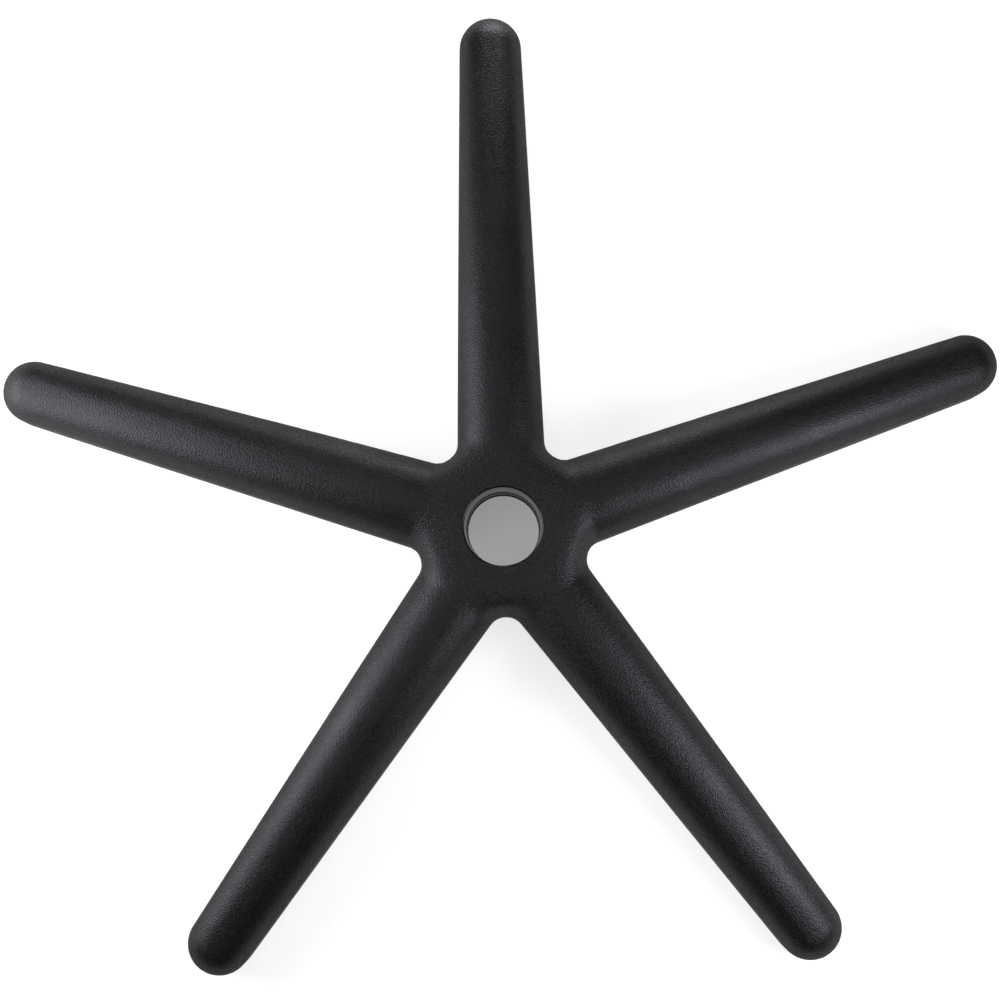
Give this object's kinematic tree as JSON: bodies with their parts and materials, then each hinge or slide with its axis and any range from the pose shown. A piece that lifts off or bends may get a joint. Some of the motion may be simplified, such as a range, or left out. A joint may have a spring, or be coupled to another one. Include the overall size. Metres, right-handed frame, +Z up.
{
  "type": "office chair base",
  "caption": "Star-shaped chair base with half-round arms, a tapered gas lift bore and caster sockets under the tips.",
  "frame": {"origin": "on the hub's axis, in the plane of the caster sockets' lower faces, on which the base rests", "axes": "+Z up along the gas lift bore; the first arm points along +Y, the others follow every fifth of a turn"},
  "size_m": [0.6676, 0.6371, 0.06],
  "materials": {
    "black_nylon": "fine pebble grain, semi-matte"
  },
  "bodies": {
    "root": {"star_base": "black_nylon"}
  },
  "joints": []
}
